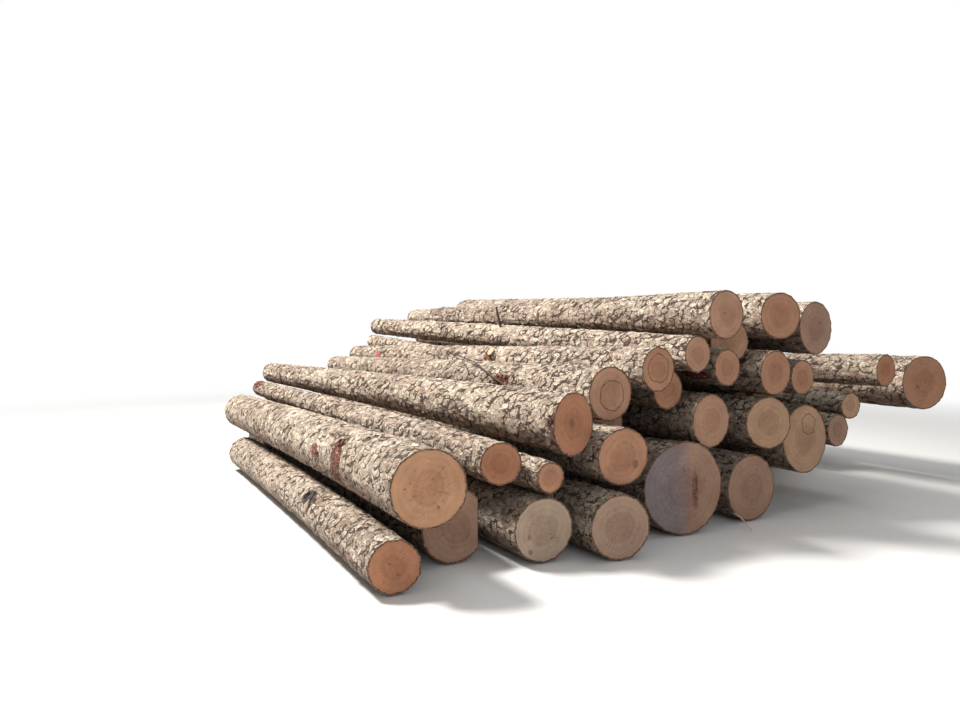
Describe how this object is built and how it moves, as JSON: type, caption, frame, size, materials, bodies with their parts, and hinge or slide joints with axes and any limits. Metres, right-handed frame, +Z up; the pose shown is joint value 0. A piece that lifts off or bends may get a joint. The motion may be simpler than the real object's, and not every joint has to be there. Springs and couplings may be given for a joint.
{
  "type": "log stack",
  "caption": "Stack of pine sawlogs with bark, laid in courses with their sawn ends to the front.",
  "frame": {"origin": "on the floor under the middle of the stack's bounding box", "axes": "+X to the right along the row of sawn near ends, +Y back along the logs, +Z up"},
  "size_m": [6.7776, 5.8854, 1.9703],
  "materials": {
    "bark": "rough scaly bark with sawn ends",
    "hidden_bark": "rough scaly bark with sawn ends, shaded inside the stack"
  },
  "bodies": {
    "root": {"bearer_log_1": "hidden_bark", "bearer_log_2": "hidden_bark", "bearer_log_3": "hidden_bark", "bearer_log_4": "hidden_bark", "bearer_log_5": "hidden_bark", "bearer_log_6": "hidden_bark", "bearer_log_7": "hidden_bark", "bearer_log_8": "hidden_bark", "bearer_log_9": "hidden_bark", "bearer_log_10": "hidden_bark", "bearer_log_11": "hidden_bark", "bearer_log_12": "hidden_bark", "bearer_log_13": "hidden_bark", "bearer_log_14": "hidden_bark", "bearer_log_15": "hidden_bark", "bearer_log_16": "hidden_bark", "bearer_log_17": "hidden_bark", "bearer_log_18": "hidden_bark", "bearer_log_19": "hidden_bark", "bearer_log_20": "hidden_bark", "bearer_log_21": "hidden_bark", "bearer_log_22": "hidden_bark", "course_1_log_1": "bark", "course_1_log_2": "bark", "course_1_log_3": "bark", "course_1_log_4": "bark", "course_1_log_5": "bark", "course_1_log_6": "bark", "course_2_log_1": "bark", "course_2_log_2": "bark", "course_2_log_3": "bark", "course_2_log_4": "bark", "course_2_log_5": "bark", "course_2_log_6": "bark", "course_2_log_7": "bark", "course_2_log_8": "bark", "course_3_log_1": "bark", "course_3_log_2": "bark", "course_3_log_3": "bark", "course_3_log_4": "bark", "course_3_log_5": "bark", "course_3_log_6": "bark", "course_3_log_7": "bark", "course_3_log_8": "bark", "course_3_log_9": "bark", "course_3_log_10": "bark", "course_4_log_1": "bark", "course_4_log_2": "bark", "course_4_log_3": "bark", "course_4_log_4": "bark", "course_4_log_5": "bark", "top_log": "bark"}
  },
  "joints": []
}
